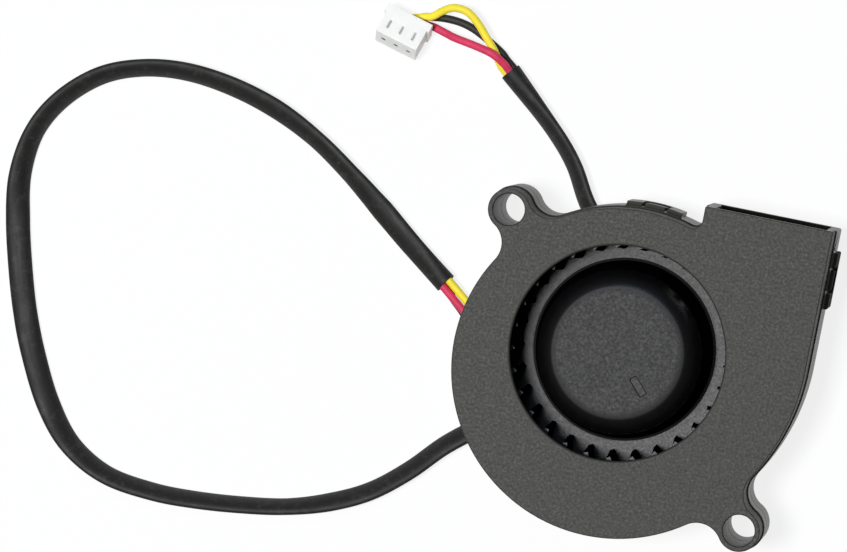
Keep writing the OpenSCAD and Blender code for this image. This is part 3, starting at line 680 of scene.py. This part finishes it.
def is_on_blade(corners):
    return min(p.xy.length for p in corners) > BLADE_SKIN_R


def is_blade_side(normal, corners):
    return is_on_blade(corners) and min(p.z for p in corners) < RING_TOP_Z and abs(normal.z) < UPRIGHT


def is_blade_top(normal, corners):
    return is_on_blade(corners) and min(p.z for p in corners) > RING_TOP_Z - RING_W and normal.z > UPRIGHT


def is_hub_side(normal, corners):
    radii = [p.xy.length for p in corners]
    return INNER_SKIN_R < min(radii) and max(radii) < BLADE_SKIN_R and abs(normal.z) < UPRIGHT


def is_mark_floor(normal, corners):
    floor_z = HUB_TOP_Z - MARK_DEPTH
    return max(abs(p.z - floor_z) for p in corners) < RIM_SLACK_MM


# Painted shade on the sides of the blades and the hub, a painted highlight on the blade tops.
more_finishes(wheel, [
    (painted_deep_shade_finish, is_blade_side), (painted_deep_shade_finish, is_hub_side), (painted_glint_finish, is_blade_top),
    (housing_finish, is_mark_floor)])
print("impeller triangles:", sum(len(p.vertices) - 2 for p in wheel.data.polygons))

# %% [markdown]
# ## The lead
# Three wires run in a soft vinyl tube that has taken an oval, twisted set from being coiled in a box.
# The route is the same list of points that the CAD tube follows, with heights above the floor. A
# smooth curve through the points carries oval rings that turn about it, so the tube looks wide
# where it lies flat and narrow where it stands on edge.

# %% Lead routes
sleeve_route = [
    (-27.8, 3.7, 1.8), (-33.6, 7.9, 1.4), (-38.9, 12.1, 1.35), (-44.5, 16.4, 1.35), (-50.5, 20.4, 1.35),
    (-57, 23.5, 1.35), (-64, 25.5, 1.35), (-71, 26.3, 1.35), (-77.5, 25.6, 1.35), (-83.4, 23.3, 1.35),
    (-88.4, 18.9, 1.35), (-91.5, 13.5, 1.35), (-92.5, 7, 1.35), (-91.7, 0.5, 1.35), (-90, -6.5, 1.35),
    (-88, -13, 1.35), (-85.5, -19, 1.35), (-82, -25.5, 1.35), (-77.6, -30.6, 1.35),
    (-71.6, -33.8, 1.35), (-64.5, -34.8, 1.35), (-58, -34.7, 1.35), (-51, -34, 1.35),
    (-44.5, -32.9, 1.35), (-38.5, -31, 1.35), (-32.9, -28.2, 1.35), (-27.9, -24.1, 1.35), (-23, -19, 1.35),
    (-17, -14.5, 1.35), (-10, -11, 1.35), (-3, -8, 1.35), (3.5, -4.5, 1.35), (7, 1, 1.35),
    (6, 7.5, 1.35), (1, 12, 1.35), (-5, 14.5, 1.35), (-9.5, 18.5, 1.35), (-12.9, 24.1, 1.35),
    (-16.9, 28.6, 1.35), (-24.5, 35.5, 1.6)]
wire_routes = {
    "yellow": (
        [(-8.2, 2.45, 5.15), (-11, 2.45, 4.5), (-14, 2.45, 3.5), (-15.5, 2.3, 3.45), (-17.5, 1.75, 2.95),
         (-19.5, 0.85, 2.1), (-21.5, 0.35, 1.75), (-23, 0.8, 1.7), (-24.3, 1.7, 1.9), (-27.25, 4.1, 2.2)],
        [(-25, 35.1, 1.2), (-26, 36.05, 1.7), (-27.2, 37.9, 2.35), (-28.65, 39.6, 2.7), (-30.2, 41.35, 3),
         (-31.9, 42.7, 3.4), (-33.7, 43, 3.4), (-34.8, 42.7, 3.2), (-35.9, 42, 2.8), (-36.5, 41.5, 2.45),
         (-37.1, 41.1, 2.15), (-37.6, 40.95, 1.95), (-38.2, 40.85, 1.85), (-38.95, 40.55, 1.85),
         (-39.6, 40.4, 1.85), (-40.15, 40.15, 2.05), (-40.35, 39.6, 2.25), (-40.75, 38.2, 2.85)]),
    "red": (
        [(-8.2, 1.2, 5.15), (-11, 1.2, 4.5), (-14, 1.2, 3.5), (-16, 0.97, 3.05), (-18, 0.25, 1.95),
         (-19.8, -0.6, 1.8), (-21.8, -0.9, 1.75), (-23.4, -0.45, 1.8), (-24.7, 0.45, 1.95),
         (-27.95, 3.1, 2.2)],
        [(-24.6, 35.6, 2.35), (-25.7, 36.6, 3), (-27.5, 37.6, 3.7), (-30.2, 38.2, 3.1), (-33.2, 38.7, 2.4),
         (-34.55, 39.05, 1.9), (-35.6, 39.35, 1.7), (-36.5, 39.6, 1.5), (-37.2, 39.7, 1.45),
         (-37.8, 39.7, 1.75), (-38.25, 39.55, 2.05), (-38.4, 39.05, 2.25), (-38.8, 37.65, 2.85)]),
    "black": (
        [(-8.2, -0.05, 5.15), (-11, -0.05, 4.5), (-14, -0.05, 3.5), (-15.5, -0.13, 2.8), (-16.5, -0.2, 1.6),
         (-18, -1, 1), (-20, -1.7, 0.8), (-22, -1.65, 0.65), (-23.7, -0.95, 0.65), (-25.1, 0.35, 0.7),
         (-26.6, 1.8, 0.85), (-27.65, 3.45, 1.05)],
        [(-24.15, 36.05, 1.2), (-25.35, 37, 1.15), (-26.5, 38, 1.05), (-29.5, 39.75, 0.9),
         (-31.4, 40.6, 0.8), (-33.3, 41.05, 0.75), (-35.45, 41.15, 0.7), (-37.5, 40.95, 0.65),
         (-38.2, 40.75, 0.65), (-38.7, 40.55, 0.65), (-39.2, 40.35, 0.65), (-39.75, 40.2, 0.65),
         (-40.7, 40.3, 0.65), (-41.35, 40.45, 0.85), (-41.75, 40.6, 1.4), (-42.05, 40.45, 1.95),
         (-42.25, 40, 2.25), (-42.65, 38.7, 2.85)])}


def on_floor(points):
    """Places in the frame for points in millimetres, with heights above the floor."""
    return [Vector((x * MM, y * MM, z * MM + cad_low.z)) for x, y, z in points]


def smooth_line(points, per_span):
    """A curve through every point, with its tangents taken from the neighbours."""
    line = []
    last = len(points) - 1
    for i in range(last):
        before, a, b, after = points[max(i - 1, 0)], points[i], points[i + 1], points[min(i + 2, last)]
        for k in range(per_span):
            t = k / per_span
            line.append(0.5 * (2 * a + (b - before) * t + (2 * before - 5 * a + 4 * b - after) * t ** 2
                               + (3 * a - before - 3 * b + after) * t ** 3))
    return line + [points[last]]


print("points of the sleeve:", len(sleeve_route))

# %% [markdown]
# ## Sleeve
# The vinyl tube is an oval with half axes of 1.78 and 0.85 mm, which has the girth of a round tube
# of 2.7 mm. The width that shows at each stretch gives its turn. At its ends the three wires hold
# it almost round. Both ends are cut square, so the tube has a wall and a hollow there.

# %% Sleeve
SLEEVE_D_MM = 2.7
OVAL_MM = (1.78, 0.85)
END_MM = (1.62, 1.5)
END_REACH_MM = 7
SLEEVE_WALL_MM = 0.2
HOLLOW_MM = 5
SLEEVE_SIDES = 28
SPAN_STEPS = 8
seen_widths = [(0, 3.2), (2, 3.4), (3, 2.9), (4, 2.8), (5, 3), (6, 2.9), (8, 2.6), (11, 2.6), (12, 3),
               (13, 3.5), (15, 3.55), (17, 3.3), (18, 2.8), (19, 2.5), (23, 2.3), (24, 2.6), (26, 2.7),
               (29, 2.8), (35, 2.8), (37, 2.5), (39, 2.5)]


def seen_width(at):
    """Width in millimetres that shows at a place along the route, between two measured ones."""
    for (i, a), (j, b) in zip(seen_widths, seen_widths[1:]):
        if at <= j:
            return a + (b - a) * (at - i) / (j - i)
    return seen_widths[-1][1]


def oval_turn(width):
    """Turn of the oval, from lying flat, that shows a given width from above."""
    wide, thin = OVAL_MM[0] ** 2, OVAL_MM[1] ** 2
    share = ((width / 2) ** 2 - thin) / (wide - thin)
    return math.acos(math.sqrt(min(max(share, 0), 1)))


def length_of(line):
    return sum((b - a).length for a, b in zip(line, line[1:]))


sleeve_line = smooth_line(on_floor(sleeve_route), SPAN_STEPS)
sleeve_length = length_of(sleeve_line)
sleeve_turns = [oval_turn(seen_width(i / SPAN_STEPS)) for i in range(len(sleeve_line))]
sleeve_axes = []
for i, angle in enumerate(sleeve_turns):
    to_end = min(i, len(sleeve_line) - 1 - i) / (len(sleeve_line) - 1) * sleeve_length / MM
    held = max(0, 1 - to_end / END_REACH_MM)
    held = held * held * (3 - 2 * held)
    wide, thin = [a + (b - a) * held for a, b in zip(OVAL_MM, END_MM)]
    rest = math.hypot(wide * math.sin(angle), thin * math.cos(angle)) * MM
    drawn = sleeve_line[i].z - cad_low.z
    sleeve_line[i].z = cad_low.z + max(rest, rest + (drawn - rest) * held)
    sleeve_axes.append((wide, thin))
print("sleeve heights in mm:", round(min(p.z - cad_low.z for p in sleeve_line) / MM, 2), "to",
      round(max(p.z - cad_low.z for p in sleeve_line) / MM, 2))

# %% [markdown]
# ## Sleeve as a mesh
# A curve with a bevel profile is the quick way to a tube, but its profile can't change from round to
# oval. So an oval ring of points is set at every step of the line and joined to the next one. The rows
# also give each face its place along and round the tube, in metres, which the finish reads.

# %% Sleeve mesh
def oval_ring(line, i, inset_mm=0):
    """Points round the sleeve at one place of its line."""
    heading = (line[min(i + 1, len(line) - 1)] - line[max(i - 1, 0)]).normalized()
    side = heading.cross(Vector((0, 0, 1))).normalized()
    up = side.cross(heading)
    angle = sleeve_turns[i]
    ring = []
    for k in range(SLEEVE_SIDES):
        a = 2 * math.pi * k / SLEEVE_SIDES
        x = (sleeve_axes[i][0] - inset_mm) * math.cos(a)
        y = (sleeve_axes[i][1] - inset_mm) * math.sin(a)
        across = x * math.cos(angle) - y * math.sin(angle)
        above = x * math.sin(angle) + y * math.cos(angle)
        ring.append(line[i] + side * across * MM + up * above * MM)
    return ring


def sleeve_mesh():
    """The outside from end to end, with a short hollow behind each cut end."""
    last = len(sleeve_line) - 1
    inner_steps = round(HOLLOW_MM * MM / sleeve_length * last)
    order = [(i, SLEEVE_WALL_MM) for i in range(inner_steps, -1, -1)]
    order += [(i, 0) for i in range(last + 1)]
    order += [(last - i, SLEEVE_WALL_MM) for i in range(inner_steps + 1)]
    shape = bmesh.new()
    laid = shape.loops.layers.uv.new("along and round")
    rings = [[shape.verts.new(p) for p in oval_ring(sleeve_line, i, inset)] for i, inset in order]
    span = sleeve_length / last
    for row, (low, high) in enumerate(zip(rings, rings[1:])):
        for k in range(SLEEVE_SIDES):
            j = (k + 1) % SLEEVE_SIDES
            face = shape.faces.new((low[k], high[k], high[j], low[j]))
            for loop, (u, v) in zip(face.loops, ((row, k), (row + 1, k), (row + 1, k + 1), (row, k + 1))):
                loop[laid].uv = (u * span, v / SLEEVE_SIDES * math.pi * SLEEVE_D_MM * MM)
    shape.faces.new(rings[0])
    shape.faces.new(rings[-1][::-1])
    bmesh.ops.recalc_face_normals(shape, faces=shape.faces)
    mesh = bpy.data.meshes.new("vinyl_sleeve")
    shape.to_mesh(mesh)
    shape.free()
    mesh.shade_smooth()
    mesh.set_sharp_from_angle(angle=math.radians(CREASE_ANGLE))
    return mesh


# %% [markdown]
# ## Sleeve finish
# Soft vinyl is drawn hot through a die, which leaves faint lines along the tube. A noise on the tube's
# own UV map, stretched along it, follows every bend, which object coordinates can't. The lines are drawn
# coarser than they are, so that they show. The scuffs lie anywhere, so they read object coordinates.

# %% Sleeve finish
VINYL_IOR = 1.53
LINES_MM, LINES_STRETCH = 0.5, 0.12


def soft_vinyl():
    """Extruded tube: black and satin, with lengthwise drawing lines and pale scuffs from handling."""
    made, tree, shader, place = new_material("soft vinyl", {"IOR": VINYL_IOR, "Specular IOR Level": 0.4})
    stretched = add(tree, "ShaderNodeMapping",
                    {"Vector": place.outputs["UV"], "Scale": (LINES_STRETCH, 1, 1)}).outputs[0]
    drive(tree, shader, {
        "Base Color": mottled(tree, place.outputs["Object"], "#121210", "#3A3A36", 1.3,
                              detail=6, rough=0.75, edges=(0.52, 0.8)),
        "Roughness": wandering(tree, stretched, LINES_MM, 0.5, 0.75, detail=3),
        "Normal": grain_bump(tree, stretched, LINES_MM, 0.02, detail=3, strength=0.6)})
    return made


sleeve = bpy.data.objects.new("vinyl_sleeve", sleeve_mesh())
scene.collection.objects.link(sleeve)
dress(sleeve, soft_vinyl(), "housing", "sleeve_vinyl", "lead_sleeve")
print("sleeve length in mm:", round(sleeve_length / MM, 1))

# %% [markdown]
# ## Wires
# Each wire is a stranded core in bright vinyl. It shows only at the two ends of the sleeve, so each
# colour is two short tubes that start a little inside it. A node tree turns a row of points into a
# curve and sweeps a circle along it. A curve object with a round bevel would look the same, but the
# tree is one recipe for all three colours.

# %% Wires
WIRE_D_MM, WIRE_SIDES, WIRE_STEPS = 1.15, 20, 6


def swept_wire_tree():
    """A node tree that sweeps a circle along rows of points."""
    tree = bpy.data.node_groups.new("swept wire", "GeometryNodeTree")
    sockets = tree.interface
    sockets.new_socket("Geometry", in_out="INPUT", socket_type="NodeSocketGeometry")
    radius = sockets.new_socket("Radius", in_out="INPUT", socket_type="NodeSocketFloat")
    sides = sockets.new_socket("Sides", in_out="INPUT", socket_type="NodeSocketInt")
    finish = sockets.new_socket("Finish", in_out="INPUT", socket_type="NodeSocketMaterial")
    sockets.new_socket("Geometry", in_out="OUTPUT", socket_type="NodeSocketGeometry")
    given = add(tree, "NodeGroupInput").outputs
    line = add(tree, "GeometryNodeMeshToCurve", {"Mesh": given["Geometry"]})
    circle = add(tree, "GeometryNodeCurvePrimitiveCircle",
                 {"Resolution": given["Sides"], "Radius": given["Radius"]})
    tube = add(tree, "GeometryNodeCurveToMesh", {
        "Curve": line.outputs["Curve"], "Profile Curve": circle.outputs["Curve"], "Fill Caps": True})
    real = add(tree, "GeometryNodeRealizeInstances", {"Geometry": tube.outputs["Mesh"]})
    coated = add(tree, "GeometryNodeSetMaterial",
                 {"Geometry": real.outputs["Geometry"], "Material": given["Finish"]})
    add(tree, "NodeGroupOutput", {"Geometry": coated.outputs["Geometry"]})
    return tree, {"radius": radius.identifier, "sides": sides.identifier, "finish": finish.identifier}


wire_tree, wire_inputs = swept_wire_tree()
print("inputs of the wire tree:", list(wire_inputs))


def sweep(name, lines, diameter_mm, finish):
    """One mesh of round tubes along some rows of points."""
    mesh = bpy.data.meshes.new(name)
    points = [p for line in lines for p in line]
    edges = []
    first = 0
    for line in lines:
        edges += [(first + k, first + k + 1) for k in range(len(line) - 1)]
        first += len(line)
    mesh.from_pydata(points, edges, [])
    piece = bpy.data.objects.new(name, mesh)
    scene.collection.objects.link(piece)
    modifier = piece.modifiers.new("swept wire", "NODES")
    modifier.node_group = wire_tree
    modifier[wire_inputs["radius"]] = diameter_mm / 2 * MM
    modifier[wire_inputs["sides"]] = WIRE_SIDES
    modifier[wire_inputs["finish"]] = finish
    settle(piece)
    piece.data.shade_smooth()
    piece.data.set_sharp_from_angle(angle=math.radians(CREASE_ANGLE))
    return piece


# %% [markdown]
# ## Insulation
# The insulation is extruded vinyl, coloured right through and satin. A wire lies a little nearer the
# middle inside the sleeve than at its mouth, so its hidden end follows the sleeve's own line, drawn in.

# %% Insulation
TUCK_STEPS, TUCK_SHARE = 4, 0.9


def bright_vinyl(name, light, dark):
    """Wire insulation: satin, slightly uneven from the extruder."""
    made, tree, shader, place = new_material(name, {"IOR": VINYL_IOR})
    where = place.outputs["Object"]
    drive(tree, shader, {
        "Base Color": mottled(tree, where, dark, light, 2.5, detail=2),
        "Roughness": wandering(tree, where, 0.6, 0.55, 0.7),
        "Normal": grain_bump(tree, where, 0.3, 0.01)})
    return made


def tucked(points, inside):
    """Carry a wire on from the mouth of the sleeve, along the sleeve's own line."""
    offset = points[-1] - inside[0]
    return points + [spot + offset * TUCK_SHARE for spot in inside[1:TUCK_STEPS + 1]]


wire_colours = {
    "yellow": ("#FCEB3A", "#F0DC2C"), "red": ("#DF3462", "#CC2B54"), "black": ("#171613", "#100F0D")}
for colour, (fan_points, plug_points) in wire_routes.items():
    at_fan = tucked(on_floor(fan_points), sleeve_line)
    at_plug = tucked(on_floor(plug_points)[::-1], sleeve_line[::-1])
    lines = [smooth_line(at_fan, WIRE_STEPS), smooth_line(at_plug, WIRE_STEPS)]
    finish = bright_vinyl(colour + " vinyl", *wire_colours[colour])
    wire = sweep(colour + "_insulation", lines, WIRE_D_MM, finish)
    dress(wire, finish, "housing", colour + "_insulation", colour + "_wire")
    print(colour, "wire shows", round(sum(length_of(x) for x in lines) / MM, 1), "mm")

# %% [markdown]
# ## Connector
# The plug is white nylon, moulded with crisp but not sharp edges, and each chamber holds a crimped
# contact of tinned bronze. Nylon lets a little light in, so its shadows are soft and warm. The shape is
# the CAD part's own, with its edges rounded as on the housing, so nothing is modelled twice.

# %% Connector
NYLON_IOR = 1.53
PLUG_EDGE_MM = 0.06


def white_nylon():
    """Natural nylon: off-white, satin and slightly cloudy."""
    made, tree, shader, place = new_material(
        "white nylon", {"IOR": NYLON_IOR, "Subsurface Weight": 0.35, "Subsurface Scale": 0.8 * MM,
                        "Subsurface Radius": (1, 0.97, 0.9)})
    where = place.outputs["Object"]
    drive(tree, shader, {
        "Base Color": mottled(tree, where, "#F8F9F2", "#FEFEFA", 1.5, detail=2),
        "Roughness": wandering(tree, where, 0.5, 0.35, 0.5),
        "Normal": grain_bump(tree, where, 0.3, 0.01)})
    return made


plug = rounded("connector_housing", "nylon_connector", PLUG_EDGE_MM)
dress(plug, white_nylon(), "housing", "connector_nylon", "connector_housing")
print(plug.name, "faces:", len(plug.data.polygons))

# %% [markdown]
# ## Metals and the pieces inside
# What the housing hides is still there: a bronze bearing, copper coils, a steel rotor cup and the
# board. A metal keeps the default IOR and gets its look from its colour, its roughness and the
# marks of how it was made.

# %% Inner finishes
def metal(name, light, dark, rough, mark_mm):
    """Bare metal: it mirrors the room in its own colour, blurred by marks of a given size."""
    made, tree, shader, place = new_material(name, {"Metallic": 1})
    where = place.outputs["Object"]
    drive(tree, shader, {
        "Base Color": mottled(tree, where, dark, light, 3 * mark_mm),
        "Roughness": wandering(tree, where, mark_mm, rough - 0.08, rough + 0.08, detail=3)})
    return made


def dull(name, light, dark, rough, cloud_mm):
    """Plastic, lacquer or ceramic: an even colour with faint clouds and a weak sheen."""
    made, tree, shader, place = new_material(name)
    where = place.outputs["Object"]
    drive(tree, shader, {
        "Base Color": mottled(tree, where, dark, light, cloud_mm),
        "Roughness": wandering(tree, where, cloud_mm / 3, rough - 0.1, rough + 0.1),
        "Normal": grain_bump(tree, where, cloud_mm / 4, 0.01)})
    return made


inner_finishes = {
    metal("turned brass", "#D9B56A", "#C9A24F", 0.3, 0.2): ["bearing_tube", "shaft_bush"],
    metal("oiled sintered bronze", "#A8794C", "#8A5E36", 0.5, 0.15): ["sleeve_bearing"],
    metal("stamped steel sheet", "#B4B4B2", "#9C9C9A", 0.4, 0.4): ["stator_core"],
    metal("zinc plated steel", "#C2C4C6", "#AEB0B3", 0.35, 0.5): ["rotor_yoke"],
    metal("ground steel", "#D0D1D2", "#BEBFC1", 0.2, 0.1): ["shaft", "retaining_clip"],
    metal("enamelled copper", "#C8713C", "#A9562A", 0.3, 0.25): ["coil_1", "coil_2", "coil_3", "coil_4"],
    metal("tinned bronze", "#CFCABC", "#B5AE9C", 0.3, 0.2): ["crimp_contacts"],
    dull("bonded ferrite", "#3A3836", "#2C2A28", 0.7, 0.5): ["magnet_ring"],
    dull("natural nylon", "#E6E2D2", "#D8D3C0", 0.5, 0.8): [
        "thrust_pad", "oil_washer", "upper_insulator", "lower_insulator"],
    dull("green solder mask", "#2E6B3E", "#255A33", 0.4, 1.2): ["circuit_board"],
    dull("moulded epoxy", "#2B2B2B", "#222222", 0.6, 0.4): ["hall_sensor", "driver_chip"],
    dull("fired ceramic", "#B79A74", "#A2865F", 0.5, 0.4): ["chip_parts"],
}
for finish, names in inner_finishes.items():
    for name in names:
        nodes[name].data.materials.clear()
        nodes[name].data.materials.append(finish)
print("inner finishes:", len(inner_finishes))

# %% [markdown]
# ## Contact details
# Two things of a contact show on the plug: the mouth that takes the pin, in the square hole of the front
# wall, and the bright back of the spring tongue that locks it, under the slit on top. The mouth is painted
# dark as the shade deep in the hole. Both are small blocks in the plug's own axes: X across the contacts,
# Y to the mating face and Z up.

# %% Contact mouths and tongues
PLUG_AT_MM, PLUG_TURN, PLUG_PITCH = (-40.4, 39.35, 0), 164.5, 22
PLUG_L_MM, PLUG_T_MM, PLUG_FRONT_MM = 4.6, 4.4, 0.8
CONTACT_PITCH_MM = 2
MOUTH_MM, MOUTH_WALL_MM = 0.53, 0.04
TONGUE_MM = (0.26, 1.2, 1.4)
TONGUE_Y_MM, TONGUE_INSET_MM = 2.85, 0.06
plug_place = Matrix.Translation(on_floor([PLUG_AT_MM])[0])
plug_turned = Matrix.Rotation(math.radians(PLUG_TURN), 4, "Z")
plug_tilted = Matrix.Rotation(math.radians(PLUG_PITCH), 4, "X")
plug_axes = plug_place @ plug_turned @ plug_tilted @ Matrix.Scale(MM, 4)


def add_block(shape, middle, size):
    """A box, with its middle and size in millimetres."""
    made = bmesh.ops.create_cube(shape, size=1)["verts"]
    bmesh.ops.scale(shape, vec=size, verts=made)
    bmesh.ops.translate(shape, vec=middle, verts=made)


def add_mouth(shape, x):
    """A square tube that lines the pin hole, open to the front."""
    reach = PLUG_FRONT_MM - 2 * MOUTH_WALL_MM
    y, z = PLUG_L_MM - PLUG_FRONT_MM / 2, PLUG_T_MM / 2
    inner = MOUTH_MM - 2 * MOUTH_WALL_MM
    off = (MOUTH_MM - MOUTH_WALL_MM) / 2
    for side in (-1, 1):
        add_block(shape, (x + side * off, y, z), (MOUTH_WALL_MM, reach, MOUTH_MM))
        add_block(shape, (x, y, z + side * off), (inner, reach, MOUTH_WALL_MM))


def add_tongue(shape, x):
    """A block whose top shows just under the slit."""
    top = PLUG_T_MM - TONGUE_INSET_MM
    add_block(shape, (x, TONGUE_Y_MM, top - TONGUE_MM[2] / 2), TONGUE_MM)


def contact_piece(name, add_one, finish):
    """One mesh with the same detail at all three contacts."""
    shape = bmesh.new()
    for k in (-1, 0, 1):
        add_one(shape, k * CONTACT_PITCH_MM)
    bmesh.ops.transform(shape, matrix=plug_axes, verts=shape.verts)
    mesh = bpy.data.meshes.new(name)
    shape.to_mesh(mesh)
    shape.free()
    piece = bpy.data.objects.new(name, mesh)
    scene.collection.objects.link(piece)
    print(name, "faces:", len(mesh.polygons))
    return dress(piece, finish, "housing", "tinned_bronze")


# Painted shade: the mouths are coloured dark for the shade deep inside the pin holes.
shade_painted = metal("tarnished bronze", "#4A463C", "#38352D", 0.6, 0.2)
tinned = metal("bright tin plate", "#DCDAD2", "#CFCCC2", 0.45, 0.2)
contact_details = [
    contact_piece("contact_mouths", add_mouth, shade_painted),
    contact_piece("contact_tongues", add_tongue, tinned)]
